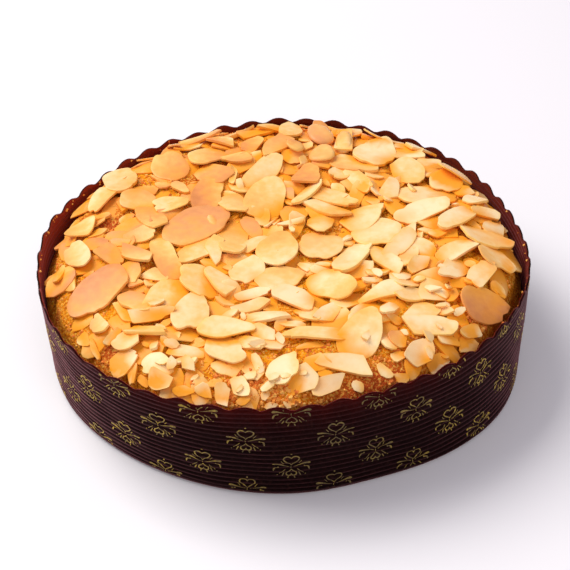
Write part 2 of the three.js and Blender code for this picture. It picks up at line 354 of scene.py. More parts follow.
def paper_finish():
    """Dark brown paper: near black with a rosy sheen, redder inside, and painted red where light comes
    through.
    """
    finish, tree, shader = new_finish("case_paper")
    fibre = grain(tree, 900.0, 6.0)
    blotch = grain(tree, 60.0)
    outside = mixed(tree, blotch, srgb(9, 2, 2), srgb(17, 5, 5))
    inside = mixed(tree, blotch, srgb(130, 34, 18), srgb(150, 66, 40))
    wall = mixed(tree, stored(tree, "inside"), outside, inside)
    # Painted light: deep red mixed in where light would come through the paper.
    lit = mixed(tree, stored(tree, "painted_glow"), wall, srgb(76, 8, 5))
    wear_and_shade = mixed(tree, ranged(tree, fibre, 0.5, 0.8, 0.0, 0.1), lit, srgb(104, 62, 54))
    dull = ranged(tree, fibre, 0.3, 0.7, 0.3, 0.44)
    feed(tree, shader, {
        "Base Color": wear_and_shade, "Roughness": dull, "Specular IOR Level": 0.015,
        "Sheen Weight": 0.46, "Sheen Roughness": 0.35, "Sheen Tint": srgb(235, 140, 150),
        "Subsurface Weight": 0.25, "Subsurface Radius": (1.0, 0.15, 0.1), "Subsurface Scale": 0.0012,
    })
    roughen(tree, shader, fibre, 0.0002, 0.4)
    return finish


case_points = case_rings()
ring_count = len(case_points)
case_flat = case_points.reshape(-1, 3)
case_poles = np.array([[0, 0, 0], [0, 0, PAPER]])
case = add_piece(
    "paper_case_ribbed", np.concatenate([case_flat, case_poles]), closed_faces(ring_count, AROUND),
    "paper_case", paper_finish())
case_angle = np.arctan2(case_flat[:, 1], case_flat[:, 0])
inside = (np.repeat(np.arange(ring_count), AROUND) > FOOT_ROWS + OUTER_ROWS).astype(float)
# The inner side is painted reddest at the left, as light through the paper there. Near the edge at the
# front, on the side that faces the view, the outside takes painted red light through the paper.
inside = inside * (0.4 + 0.6 * np.clip(-np.cos(case_angle), 0, 1))
# Painted light through the paper, outside only: strongest near the rim and on the side that faces the view.
toward_view = np.clip(np.cos(case_angle + np.pi / 2), 0, 1) ** 2
painted_glow = 0.5 * np.exp(-(rim_height(case_angle) - case_flat[:, 2]) / 5) * toward_view * (inside == 0)
add_values(case, "inside", np.append(inside, [0, 1]))
add_values(case, "painted_glow", np.append(painted_glow, [0, 0]))

# %% [markdown]
# ## The gold print
# A small sprig is printed all round the wall in rows set half a step apart, a common ornament on baking
# paper. Each stroke is a thin ribbon that hugs the ribs: a path in the flat of the paper with a width that
# swells and tapers, laid on the wall by angle and height. Strokes past the edge or the foot are cut off.

# %% Strokes of one sprig
STROKE_STEPS = 20
along_stroke = np.linspace(0, 1, STROKE_STEPS)


def petal(half_width, height, start, side):
    """Half of a heart-shaped petal, by the usual heart curve: from the tip round a lobe to the notch."""
    t = np.pi * (1 - along_stroke)
    across = half_width * np.sin(t) ** 3
    up = 13 * np.cos(t) - 5 * np.cos(2 * t) - 2 * np.cos(3 * t) - np.cos(4 * t)
    return side * across, start + height * (up + 17) / 29, 0.11 + 0.13 * np.sin(np.pi * along_stroke ** 1.4)


def leaf(start, end, curl, swell, side):
    """A side leaf: an arc that swells toward its far end. Start and end are across and up."""
    t = along_stroke
    across = start[0] + (end[0] - start[0]) * np.sin(np.pi / 2 * t)
    up = start[1] + (end[1] - start[1]) * t + curl * np.sin(np.pi * t)
    return side * across, up, 0.09 + swell * np.sin(np.pi * t ** 2)


def dash(x0, y0, x1, y1, half_width):
    """A short straight stroke with round ends, or a dot where it is as short as wide."""
    t = along_stroke
    round_ends = np.sqrt(np.clip(1 - (2 * t - 1) ** 4, 0, 1))
    return x0 + (x1 - x0) * t, y0 + (y1 - y0) * t, half_width * round_ends


def sprig():
    """All strokes of one sprig, each as across, up and half width, in millimetres from its middle."""
    strokes = [
        dash(-0.15, -0.5, -0.15, 0.6, 0.14),
        dash(-0.3, 6.2, 0.3, 6.2, 0.32),
        dash(-0.2, -3.2, 0.2, -3.2, 0.2),
    ]
    for side in (-1, 1):
        strokes.append(petal(2.75, 4.2, 0.9, side))
        across, up, half_width = petal(1.8, 3.0, 0.9, side)
        strokes.append((across, -up, half_width))
        strokes.append(leaf((0.8, 0.3), (6.5, 1.3), 0.7, 0.3, side))
        strokes.append(leaf((4.4, 0.0), (6.2, -1.6), 0.7, 0.22, side))
        strokes.append(dash(side * 4.3, 0.3, side * 4.8, 0.2, 0.28))
        strokes.append(dash(side * 2.5, 1.6, side * 3.6, 3.1, 0.12))
        strokes.append(dash(side * 2.0, -0.9, side * 4.3, -3.1, 0.14))
        strokes.append(dash(side * 4.7, -3.4, side * 5.0, -3.6, 0.2))
        strokes.append(dash(side * 2.5, -2.5, side * 3.3, -4.1, 0.2))
        strokes.append(dash(side * 0.9, -4.3, side * 1.3, -5.3, 0.2))
    return np.array(strokes)


print("strokes in a sprig:", len(sprig()))

# %% The print on the wall
SPRIGS_AROUND = 19
SPRIG_ROWS = np.array([38.5, 26.4, 13.9, 2.6])
SPRIG_AT = math.radians(-88.9)
PRINT_DRIFT = 1.9
DRIFT_AT = math.radians(-110)
INK = 0.1
PRINT_SHADE_AT = math.radians(-80)


def print_ribbons():
    """Ribbons of every stroke of every sprig: sprig and stroke, step along it, left or right edge, xyz."""
    across, up, half_width = np.moveaxis(sprig(), 1, 0)
    run_x, run_y = np.gradient(across, axis=1), np.gradient(up, axis=1)
    run = np.hypot(run_x, run_y) + 1e-9
    edge = np.array([-1.0, 1.0])
    flat_x = across[..., None] - edge * (half_width * run_y / run)[..., None]
    flat_y = up[..., None] + edge * (half_width * run_x / run)[..., None]
    step = 2 * np.pi / SPRIGS_AROUND
    half_step = 0.5 * (np.arange(len(SPRIG_ROWS)) % 2)
    turn = (SPRIG_AT + step * (np.arange(SPRIGS_AROUND) - half_step[:, None])).reshape(-1, 1, 1, 1)
    level = np.repeat(SPRIG_ROWS, SPRIGS_AROUND).reshape(-1, 1, 1, 1)
    level = level + PRINT_DRIFT * (1 - np.cos(2 * (turn - DRIFT_AT)))
    angle = turn + flat_x / RIM_RADIUS
    z = level + flat_y
    points = round_points(angle, wall_radius(angle, z) + INK, z)
    shown = (z < rim_height(angle) - 0.3) & (z > WALL_FOOT)
    return points.reshape(-1, STROKE_STEPS, 2, 3), shown.reshape(-1, STROKE_STEPS, 2)


def ribbon_faces(shown):
    """Quads along each ribbon, left out where any corner is cut off."""
    index = np.arange(shown.size).reshape(shown.shape)
    corners = [(slice(None, -1), 1), (slice(None, -1), 0), (slice(1, None), 0), (slice(1, None), 1)]
    quads = np.stack([index[:, step, edge] for step, edge in corners], -1)
    whole = np.stack([shown[:, step, edge] for step, edge in corners], -1).all(-1)
    return quads[whole]


def gold_finish():
    """Dull gold ink, thin and uneven, so that it is brown in specks, and darker toward the front by painted
    shade.
    """
    finish, tree, shader = new_finish("gold_print")
    patchy = ranged(tree, grain(tree, 800.0, 3.0), 0.35, 0.65)
    ink = mixed(tree, patchy, srgb(96, 74, 20), srgb(210, 174, 54))
    # Painted shade darkens the ink toward the front.
    wear_and_shade = mixed(tree, stored(tree, "painted_shade"), ink, srgb(58, 44, 20))
    feed(tree, shader, {
        "Base Color": wear_and_shade, "Metallic": 0.2, "Roughness": 0.45,
        "Sheen Weight": 0.6, "Sheen Roughness": 0.35, "Sheen Tint": srgb(255, 216, 84),
    })
    return finish


ribbon_points, ribbon_shown = print_ribbons()
used, compact = np.unique(ribbon_faces(ribbon_shown), return_inverse=True)
gold_points = ribbon_points.reshape(-1, 3)[used]
gold = add_piece(
    "gold_print", gold_points, [compact.reshape(-1, 4)], "paper_case", gold_finish())
# Painted shade: the print is darkest at the front, a little to the right of the middle, where the wall gets
# least light.
gold_angle = np.arctan2(gold_points[:, 1], gold_points[:, 0])
add_values(gold, "painted_shade", 0.8 * np.clip(np.cos(gold_angle - PRINT_SHADE_AT), 0, 1) ** 4)

# %% [markdown]
# ## The sponge
# The cake is a flattened dome with a soft shoulder, browned and grainy where it shows between the almonds.
# Its top is a height over the plan, the same formula as in the solid model, with crumb of three sizes
# added. Below its top edge the cake fills the case. Values stored on its points say where it is browned.

# %% Shape of the sponge
TOP_RADIUS = 87.2
SHOULDER = 33.5
DOME = 13.1
DOME_POWER = 7
BACK_RISE = 2.4
RISE_AT = math.radians(105)
CLEARANCE = 0.3
# Below its top edge the cake fills the case but for a narrow gap.
SIDE_GAP = 0.9
# Where the top edge stands out toward the paper, in the same terms as the leans.
CAKE_LEANS = [[2.6, 163, 26]]
LEDGE_DROP = 4.0


def top_edge(angle):
    """Radius of the cake's top edge, which keeps to the outline of the case."""
    return TOP_RADIUS + rim_sway(angle) + lean(angle, CAKE_LEANS)


def sponge_top(x, y):
    """Height of the bare sponge: a flattened dome, a little higher at the back, with soft swells."""
    out = np.minimum(1, np.hypot(x, y) / top_edge(np.arctan2(y, x)))
    dome = SHOULDER + DOME * np.sqrt(1 - out ** DOME_POWER)
    swell = 0.7 * np.sin(0.11 * x + 1.3) * np.cos(0.09 * y - 0.4) + 0.4 * np.sin(0.21 * x - 0.17 * y)
    rise = BACK_RISE * ((x * math.cos(RISE_AT) + y * math.sin(RISE_AT)) / TOP_RADIUS)
    return dome + rise + swell * (1 - out ** 4)


def lattice(i, j, seed):
    """A fixed pseudo-random value from 0 to 1 for each whole-number point of a grid."""
    value = np.sin(i * 127.1 + j * 311.7 + seed * 74.7) * 43758.5453
    return value - np.floor(value)


def blended(corner, i, j, a, b):
    """A value between those of four neighbouring cells, a of the way along i and b of the way along j."""
    low = corner(i, j) * (1 - a) + corner(i + 1, j) * a
    high = corner(i, j + 1) * (1 - a) + corner(i + 1, j + 1) * a
    return low * (1 - b) + high * b


def smooth_noise(x, y, seed):
    """Noise from -1 to 1: the four lattice values round a point, blended by an eased share of the way."""
    i, j = np.floor(x), np.floor(y)
    a, b = x - i, y - j
    a, b = a * a * (3 - 2 * a), b * b * (3 - 2 * b)
    return 2 * blended(lambda p, q: lattice(p, q, seed), i, j, a, b) - 1


def crumb(x, y):
    """Crumb of the sponge: lumps of about 4, 2 and 1 millimetres and some small pits."""
    lumps = 0.45 * smooth_noise(x / 4.1, y / 4.1, 11) + 0.42 * smooth_noise(x / 1.9, y / 1.9, 12)
    lumps = lumps + 0.35 * smooth_noise(x / 1.15, y / 1.15, 14)
    pits = np.clip(smooth_noise(x / 2.3 + 9, y / 2.3, 13) - 0.45, 0, 1)
    return lumps - 0.9 * pits


# %% Sponge mesh
CAKE_AROUND = 640
SIDE_ROWS = 15
TOP_ROWS = 124
# Patches of darker crust: centre x, centre y, radius.
CRUSTS = [[24, -84, 15], [38, -79, 9], [-68, 10, 12], [-36, 36, 8], [-58, -60, 8]]


def crust(x, y):
    """How much of a darker crust lies at a point: a sum of bell curves."""
    return sum(0.8 * np.exp(-((x - a) ** 2 + (y - b) ** 2) / radius ** 2) for a, b, radius in CRUSTS)


def cake_rings():
    """Rings of the cake, from the edge of its foot, up the side, over the shoulder and in to the middle."""
    angle = np.linspace(0, 2 * np.pi, CAKE_AROUND, endpoint=False)[None, :]
    floor_z = PAPER + CLEARANCE
    edge = round_points(angle, top_edge(angle), 0)
    ledge = sponge_top(edge[..., 0], edge[..., 1]) - LEDGE_DROP
    side_z = floor_z + (ledge - floor_z) * np.linspace(0, 1, SIDE_ROWS)[:, None]
    drawn_in = np.where(side_z > floor_z, SIDE_GAP, SIDE_GAP + CORNER)
    side = round_points(angle, smooth_wall(angle, side_z) - PAPER - drawn_in, side_z)
    share = np.sin(np.linspace(np.pi / 2, 0, TOP_ROWS, endpoint=False))[:, None] ** 0.85
    radius = share * top_edge(angle)
    x, y = radius * np.cos(angle), radius * np.sin(angle)
    top = np.stack([x, y, sponge_top(x, y) + crumb(x, y)], -1)
    return np.concatenate([side, top])


def sponge_finish():
    """Baked sponge: golden crumb, browner at the edge, amber painted warm shade deep between flakes, dark
    and pale specks.
    """
    finish, tree, shader = new_finish("baked_sponge")
    cloud = ranged(tree, grain(tree, 95.0), 0.35, 0.65)
    body = mixed(tree, cloud, srgb(244, 152, 36), srgb(222, 110, 42))
    # Painted warm shade: amber where the sponge lies deep between the flakes.
    deep = mixed(tree, stored(tree, "low"), body, srgb(255, 162, 8))
    edge = mixed(tree, stored(tree, "browned"), deep, srgb(200, 88, 28))
    speck = grain(tree, 1000.0, 2.0)
    dark = mixed(tree, ranged(tree, speck, 0.52, 0.62, 0.0, 0.5), edge, srgb(168, 62, 14))
    pale = mixed(tree, ranged(tree, speck, 0.48, 0.38, 0.0, 0.6), dark, srgb(255, 200, 92))
    feed(tree, shader, {
        "Base Color": pale, "Roughness": 0.8, "Specular IOR Level": 0.15,
        "Subsurface Weight": 0.3, "Subsurface Radius": (1.0, 0.45, 0.2), "Subsurface Scale": 0.002,
    })
    roughen(tree, shader, grain(tree, 1400.0, 4.0), 0.0012, 0.9)
    return finish


cake_points = cake_rings()
cake_flat = cake_points.reshape(-1, 3)
cake_poles = np.array([[0, 0, PAPER + CLEARANCE], [0, 0, sponge_top(0.0, 0.0)]])
sponge = add_piece(
    "sponge", np.concatenate([cake_flat, cake_poles]), closed_faces(len(cake_points), CAKE_AROUND),
    "cake", sponge_finish())
cake_angle = np.arctan2(cake_flat[:, 1], cake_flat[:, 0])
out = np.hypot(cake_flat[:, 0], cake_flat[:, 1]) / top_edge(cake_angle)
patch = smooth_noise(cake_flat[:, 0] / 17, cake_flat[:, 1] / 17, 21)
browned = np.clip((out - 0.88) * 6, 0, 0.25) + np.clip(patch, 0, 0.35)
browned = browned + crust(cake_flat[:, 0], cake_flat[:, 1])
add_values(sponge, "browned", np.append(browned, [0, 0]))

# %% [markdown]
# ## Where the almonds lie
# The flakes that show in the photo are listed, as in the solid model, but for a few at the back edge that
# lie further in. Broken pieces lie under them, and chips and some rounded lumps on top. Each is dropped on
# what
# already lies there: a grid of heights gives the plane under it, it comes to rest near the highest point,
# and the heights under it are then raised.

# %% Flakes
# Smaller flakes, which lie lowest: centre x, centre y, length, width, turn in degrees and how toasted.
SMALL_FLAKES = [
    [80, 8, 12, 10, 60, 0.4], [27, 74, 12, 8, 40, 0.2], [74, 24, 11, 6, 35, 0.15],
    [-12, 72, 16, 5, 25, 0.3], [-5, 74, 14, 4, 15, 0.3], [-36, 68, 17, 5, 30, 0.3],
    [-20, 71, 13, 4, 30, 0.25], [50, 62, 13, 4, 0, 0.15], [38, 71, 12, 5, -5, 0.1],
    [58, 50, 10, 5, 0, 0.25], [47, -45, 14, 8, 25, 0.4], [29, 33, 17, 6, -65, 0.4],
    [25, -24, 14, 8, 15, 0.3], [-55, -3, 11, 8, 5, 0.35], [-55, -67, 10, 9, 5, 0.15],
    [-56, -46, 13, 7, -45, 0.3], [-13, 3, 13, 6, -65, 0.9], [-43, -71, 11, 8, -30, 0.15],
    [51, -9, 11, 8, -55, 0.4], [3, 52, 9, 8, -60, 0.5], [-5, 46, 12, 6, -65, 0.5],
    [-12, -8, 13, 5, 40, 0.2], [45, -15, 13, 6, 65, 0.2], [-55, -60, 9, 8, 5, 0.1],
    [-34, -66, 12, 5, -10, 0.2], [8, -48, 10, 7, -45, 0.55], [15, -47, 12, 6, 60, 0.4],
    [-9, 10, 11, 6, -75, 0.2], [48, -20, 11, 6, 65, 0.4], [-65, -51, 10, 6, -70, 0.4],
    [-20, -73, 10, 6, -10, 0.3], [-47, -27, 10, 6, -35, 0.35], [39, -58, 8, 7, 45, 0.8],
    [-71, -6, 9, 7, 5, 0.7], [-12, -37, 12, 4, 20, 0.15], [-42, 29, 9, 5, -65, 0.3],
    [35, 26, 9, 5, -75, 0.25], [-13, -63, 11, 5, -20, 0.4], [77, 16, 11, 4, 5, 0.3],
    [-62, 20, 11, 5, 60, 0.3], [-42, -76, 8, 7, -20, 0.5], [-8, -58, 9, 6, -20, 0.4],
    [52, -64, 9, 6, 50, 0.3], [63, -54, 8, 6, 25, 0.6], [10, -71, 9, 6, 25, 0.6],
    [1, 25, 8, 5, -65, 0.8], [21, 38, 8, 6, -45, 0.35], [70, 31, 8, 6, 20, 0.6],
    [64, -50, 9, 5, 35, 0.5], [47, 1, 9, 5, 55, 0.25], [-50, 37, 9, 5, -15, 0.4],
    [-15, -80, 8, 6, -45, 0.3], [56, -56, 8, 5, -20, 0.35], [-21, -82, 8, 5, -75, 0.45],
]
# The flakes that stand out, the lower ones first: the same values.
MAIN_FLAKES = [
    [-20, -3, 24, 11, 82, 0.6], [-44, -17.5, 24, 8, -70, 0.55], [-33, -13, 17, 10, 55, 0.2],
    [-27, -13, 15, 6, 85, 0.2], [-41.5, -38, 23, 13, 68, 0.35], [-31, -31.5, 17.5, 13, -60, 0.3],
    [-33, -47.5, 19, 12, 83, 0.25], [-57, -25, 12.5, 9, -72, 0.5], [-67.5, -33, 25, 16, 62, 0.8],
    [-64.5, -15, 12, 8, -50, 0.65], [-55.5, -15, 12.5, 6.5, -22, 0.5], [-77, -13, 17, 9, -68, 0.1],
    [-52.5, -42, 15, 9, -42, 0.6], [-46.5, -49.5, 15, 5, 6, 0.35], [-48, -57.5, 14, 5, -18, 0.4],
    [-23.5, -31, 16, 8, -62, 0.3], [-14, -24, 14, 11, 70, 0.25], [-12.5, -44, 13, 6.5, 12, 0.4],
    [-6, -50.5, 14, 5.5, -4, 0.25], [-20.5, -66, 15, 10.5, -38, 0.3], [-20.5, -57, 18, 9.5, -8, 0.3],
    [-2, -28, 17, 12, 25, 0.5], [2.5, -40, 15, 9.5, -20, 0.05], [13, -8.5, 16, 15, 20, 0.6],
    [-3, -11.5, 19, 14, 75, 0.5], [14, -78, 11.5, 6, 18, 0.3], [5.5, -78, 12, 9, 70, 0.3],
    [-0.5, -74, 13, 9.5, 62, 0.15], [19.5, -70, 18, 7, -6, 0.3], [27.5, -48, 15, 8, 50, 0.5],
    [26, -58, 21, 13, 60, 0.4], [9.5, -59, 20, 5.5, 3, 0.5], [50, -52, 18, 8.5, 3, 0.3],
    [46, -62.5, 12, 8.5, 62, 0.45], [44.5, -37, 12, 6.5, 12, 0.5], [33.5, -37.5, 17, 7.5, 32, 0.45],
    [16, -32.5, 18, 13, -35, 0.45], [24, -17, 20, 9, 62, 0.25], [36, -17, 18, 7.5, -48, 0.4],
    [35, -1, 18, 15, 25, 0.35], [42, -8.5, 18, 7, 58, 0.25], [60.5, -21.5, 15, 9, 50, 0.35],
    [71, -22.5, 15, 8, 65, 0.5], [63.5, -10.5, 17, 7.5, 32, 0.4], [78, -12, 15, 12, -25, 0.55],
    # The flake at 71, -37 takes toast 1.2, partly toasting and partly painted shade, as it faces away from
    # the light.
    [76, -0.5, 20, 11, 3, 0.6], [71, -37, 20, 14, 25, 1.2], [30.5, 10, 18, 12, 38, 0.45],
    [55, 25, 22, 12, 3, 0.4], [52.5, 14, 22, 9.5, 32, 0.05], [64.5, 8, 19, 8, 48, 0.35],
    [40.5, 27.5, 15, 7, 82, 0.4], [16, 14.5, 18, 8, -25, 0.45], [18, 22.5, 20, 9, -32, 0.4],
    [8.5, 24.5, 18, 5.5, 60, 0.2], [-9, 40, 22, 10, 62, 0.2], [-8, 22, 25, 14, 80, 0.4],
    [8.5, 37.5, 15, 10, 80, 0.8], [27.5, 45, 19, 11, -25, 0.5], [50, 56, 14, 11, 30, 0.35],
    [37, 56, 23, 15, 70, 0.1], [49, 41, 15, 13, -60, 0.5], [-29, 38, 14, 12, -40, 0.6],
    [-31.5, 51, 16, 14, 60, 0.4], [-31, 22, 21, 11, 82, 0.75], [-20, 16.5, 13, 9.5, -60, 0.45],
    [-57.5, 20, 13, 12, -30, 0.25], [-52, 8.5, 18, 9, -62, 0.5], [-44.5, 17.5, 12.5, 10.5, 20, 0.15],
    [-47, 44, 16, 13, -60, 0.45], [-66, 36, 22, 12.5, 100, 0.05], [-72, 22, 14, 8, 65, 0.05],
    [-77, 5, 12, 9, 60, 0.1], [64, 36, 15, 12, 60, 0.45], [68, 41, 14, 12, -40, 0.65],
    [41, 71, 16, 12, 15, 0.1], [56, 62, 13, 6.5, 5, 0.3], [2, 73, 15, 9, 85, 0.2],
    [15, 70, 18, 8, 95, 0.7], [24, 65, 20, 7, 88, 0.4], [15, 51, 14, 8, 85, 0.65],
    [-4, 57, 18, 9, 65, 0.55], [-20, 48, 13, 7, -20, 0.45], [-14, 61, 13, 8, 80, 0.6],
    [-27, 64, 13, 6.5, -25, 0.35], [-34, 3.5, 27, 17, 48, 0.8],
]
print("flakes:", len(SMALL_FLAKES), "small and", len(MAIN_FLAKES), "that stand out")

# %% Laying them down
FLAKE = 1.2
TAPER = 0.3
SINK = 0.4
LIFT = 0.7
STEEPEST = 0.7
WALL_GAP = 1.2
# The parts that show are listed, and flakes reach a little further under each other.
OVERLAP = 1.12
REACH = 95
cell_lines = np.arange(-REACH, REACH + 1.0)
bare_top = sponge_top(*np.meshgrid(cell_lines, cell_lines))


def clear_of_case(x, y, length, width, turn):
    """The centre, moved inward until the outline is clear of the case."""
    t = 2 * np.pi * np.arange(8) / 8
    along, across = length / 2 * np.cos(t), width / 2 * np.sin(t) * (1 - TAPER * np.cos(t))
    dx = along * math.cos(turn) - across * math.sin(turn)
    dy = along * math.sin(turn) + across * math.cos(turn)
    for _ in range(3):
        angle = np.arctan2(y + dy, x + dx)
        limit = RIM_RADIUS - PAPER - WALL_GAP + rim_sway(angle) + lean(angle, RIM_LEANS)
        over = max(0.0, float(np.max(np.hypot(x + dx, y + dy) - limit)))
        keep = 1 - over / math.hypot(x, y)
        x, y = x * keep, y * keep
    return x, y


def cells_under(x, y, length, width, turn):
    """The whole-millimetre cells inside the outline of a flake, as x and y numbers."""
    half = math.ceil(length / 2)
    span = np.arange(-half, half + 1)
    i, j = np.meshgrid(math.floor(x + 0.5) + span, math.floor(y + 0.5) + span)
    c, s = math.cos(turn), math.sin(turn)
    p = ((i - x) * c + (j - y) * s) / (length / 2)
    q = ((j - y) * c - (i - x) * s) / (width / 2) / (1 - TAPER * p)
    under = (p * p + q * q <= 1) & (np.maximum(abs(i), abs(j)) <= REACH)
    return i[under], j[under]


def lay(row, heights, thick, sink):
    """Lays a flake on the heights and raises them: returns centre x, y, z and the slopes along x and y."""
    length, width, turn = max(3, row[2]), max(3, row[3]), math.radians(row[4])
    x, y = clear_of_case(row[0], row[1], length, width, turn)
    i, j = cells_under(x, y, length, width, turn)
    z = heights[j + REACH, i + REACH]
    di, dj, dz = i - i.mean(), j - j.mean(), z - z.mean()
    xx, xy, yy = 1e-9 + di @ di, di @ dj, 1e-9 + dj @ dj
    xz, yz = di @ dz, dj @ dz
    slope = np.array([xz * yy - yz * xy, yz * xx - xz * xy]) / (xx * yy - xy * xy)
    slope *= min(1, STEEPEST / max(1e-9, math.hypot(*slope)))
    level = z.mean() + slope[0] * di + slope[1] * dj
    lift = LIFT * np.max(z - level) - sink
    heights[j + REACH, i + REACH] = np.maximum(z, level + lift + thick)
    middle = z.mean() + slope[0] * (x - i.mean()) + slope[1] * (y - j.mean()) + lift
    return [x, y, middle, *slope]


flake_rows = np.array(SMALL_FLAKES + MAIN_FLAKES, float)
flake_rows[:, 2:4] *= OVERLAP
print("cells of the height grid:", bare_top.shape)

# %% Pieces under the flakes
# Broken pieces that show between the flakes, listed like them.
PIECES = [
    [-25, 60, 12, 4, -10, 0.2], [21, 28, 9, 5, -60, 0.5], [68, 19, 9, 4, 25, 0.3],
    [-83, -20, 9, 4, 75, 0.3], [-21, 36, 12, 3, 85, 0.3], [2, 3, 11, 3, 15, 0.2],
    [-18, 28, 11, 3, -80, 0.25], [-70, -54, 8, 5, -55, 0.4], [-20, -49, 8, 4, 20, 0.3],
    [-22, -43, 8, 4, -20, 0.5], [-48, 32, 8, 5, 10, 0.35], [41, 21, 8, 4, 15, 0.2],
    [8, -63, 10, 3, 10, 0.25], [-10, -71, 7, 4, -60, 0.45], [-6, 5, 7, 4, 45, 0.3],
    [57, -1, 7, 4, -10, 0.35], [55, -35, 7, 4, -30, 0.15], [67, -27, 7, 4, 35, 0.4],
    [77, -27, 8, 5, -25, 0.7], [-16, 53, 7, 4, -60, 0.6], [-66, -59, 9, 3, -75, 0.5],
    [-34, -70, 9, 3, 15, 0.4], [-62, -7, 9, 4, -20, 0.6], [-5, -35, 9, 3, 10, 0.2],
    [-27, -81, 7, 5, -40, 0.35], [-34, -80, 8, 4, -5, 0.6], [39, -72, 6, 4, 10, 0.45],
    [-71, 11, 8, 3, 20, 0.3], [-49, -32, 6, 5, -20, 0.3], [-54, -31, 6, 4, 5, 0.6],
    [-12, -31, 8, 3, -10, 0.2], [7, -21, 6, 4, -45, 0.3], [31, -30, 8, 3, 15, 0.15],
    [35, 36, 8, 4, -10, 0.35], [16, 33, 6, 4, -40, 0.6], [39, -65, 7, 4, 25, 0.4],
    [-61, 10, 7, 4, 45, 0.4], [57, -19, 7, 4, 35, 0.4], [-46, 60, 7, 4, -20, 0.3],
    [-38, -60, 5, 4, 30, 0.4], [8, 65, 6, 5, 20, 0.5], [-32, -72, 6, 3, 35, 0.35],
    [33, -71, 7, 4, -35, 0.4], [61, 17, 6, 4, -40, 0.25], [34, 20, 6, 4, -40, 0.2],
    [-60, -57, 8, 3, 50, 0.35], [-30, -62, 5, 5, 20, 0.25], [3, -54, 8, 3, 5, 0.1],
    [-71, 1, 8, 3, 40, 0.3], [13, -20, 8, 2, -25, 0.4], [-44, -66, 5, 3, -45, 0.35],
    [48, -29, 5, 3, 20, 0.4], [-41, -53, 5, 3, 40, 0.3], [-21, -23, 4, 3, -50, 0.5],
    [-36, 33, 4, 3, -10, 0.5], [-48, -74, 6, 3, -45, 0.6], [-43, -56, 5, 2, -40, 0.3],
    [-41, -62, 5, 3, -45, 0.4], [-5, -85, 5, 3, 10, 0.2], [2, -84, 6, 3, 20, 0.25],
    [68, -17, 5, 3, -30, 0.4], [-48, -62, 4, 2, -35, 0.5], [-14, -84, 5, 3, 10, 0.3],
    [24, -77, 5, 4, -40, 0.45], [-3, 36, 4, 3, 20, 0.3],
]
# Patches where the sponge shows in the photo, kept free of others: centre x, centre y, radius.
OPEN = np.array([
    [-81, -31, 7], [-79, -43, 6], [-74, -52, 5], [-64, -62, 5], [-57, -69, 4], [-46, -76, 4],
    [-38, -65, 5], [-32, -74, 4], [-15, -78, 4], [-7, -80, 5], [1, -82, 5], [15, -81, 6], [20, -77, 6],
    [23, -69, 6], [29, -62, 6], [34, -66, 7], [37, -72, 6], [26, -78, 8], [53, -60, 3], [64, -53, 5],
    [69, -50, 4], [63, -33, 5], [68, -46, 6], [-65, 31, 7], [-74, 16, 6], [-67, 6, 7], [-60, 12, 5],
    [-52, 4, 4], [-75, -8, 5], [-38, 35, 6], [-43, 47, 5], [-33, 46, 4], [-52, 36, 9], [-5, -67, 6],
    [4, -67, 6], [13, -65, 5], [-30, -57, 4], [-22, 73, 8], [-8, 75, 8], [4, 76, 8],
])
TRIALS = 5000
TRIAL_LENGTHS = (16, 4)
# A piece is kept where less than this share of it lies under others.
MOST_COVERED = 0.62
PIECE_THICK = 0.9
PIECE_SINK = 0.3


def even_spots(turn, reach, inset):
    """Spots spread evenly over the cake, from two rows of numbers between 0 and 1, as rows of x and y."""
    angle = 2 * np.pi * turn
    radius = (top_edge(angle) - inset) * np.sqrt(reach)
    return radius * np.cos(angle), radius * np.sin(angle)


def trial_rows(rng):
    """More pieces to try, drawn evenly over the cake, the long ones first."""
    around, reach, slim, turn, toast = rng.random((5, TRIALS))
    x, y = even_spots(around, reach, 3)
    length = np.linspace(*TRIAL_LENGTHS, TRIALS)
    width = length * (0.4 + 0.4 * slim)
    return np.stack([x, y, length, width, 360 * turn, 0.7 * toast], -1)


def marked(row):
    """The numbers of the grid cells under a flake."""
    i, j = cells_under(*row[:4], math.radians(row[4]))
    return j + REACH, i + REACH


def pieces_below(surface):
    """Rows and beds of the pieces: tried ones that find a free spot off the open patches, then listed."""
    covered = np.zeros(surface.shape)
    for row in flake_rows:
        covered[marked(row)] = 1
    rows = []
    for row in trial_rows(np.random.default_rng(77)):
        under = marked(row)
        in_open = (np.hypot(OPEN[:, 0] - row[0], OPEN[:, 1] - row[1]) < OPEN[:, 2]).any()
        if covered[under].mean() < MOST_COVERED and not in_open:
            rows.append(row)
            covered[under] = 1
    rows = np.array(rows + PIECES)
    return rows, np.array([lay(row, surface, PIECE_THICK, PIECE_SINK) for row in rows])


topping = bare_top.copy()
piece_rows, piece_beds = pieces_below(topping)
flake_beds = np.array([lay(row, topping, FLAKE, SINK) for row in flake_rows])
print("pieces:", len(piece_rows), "and the topping reaches", round(float(topping.max()), 1), "mm")

# %% Chips on top
# Chips that lie on the flakes, listed like them.
CHIPS = [
    [-45, -45, 7, 3, 35, 0.05], [-15, -50, 4, 2, -70, 0.05], [-2, -61, 5, 3, -70, 0.05],
    [36, -46, 10, 5, 55, 0.05], [28, -59, 6, 3, 50, 0.2], [42, -27, 7, 6, 20, 0.05],
    [23, -4, 7, 3, 60, 0.1], [33, -26, 5, 3, -55, 0.1], [57, -41, 3, 2, -65, 0.05],
    [61, -44, 5, 3, 30, 0.05], [41, -56, 3, 2, -45, 0.2], [7, 48, 6, 4, -70, 0.3],
]
# Heaps of other chips: centre x, centre y, spread and number.
CHIP_HEAPS = np.array([[-36, -70, 8, 6], [-12, -78, 7, 9], [45, -60, 8, 4], [52, -34, 8, 4], [0, 0, 45, 6]])
CHIP_THICK = 0.9
CHIP_SINK = 0.25
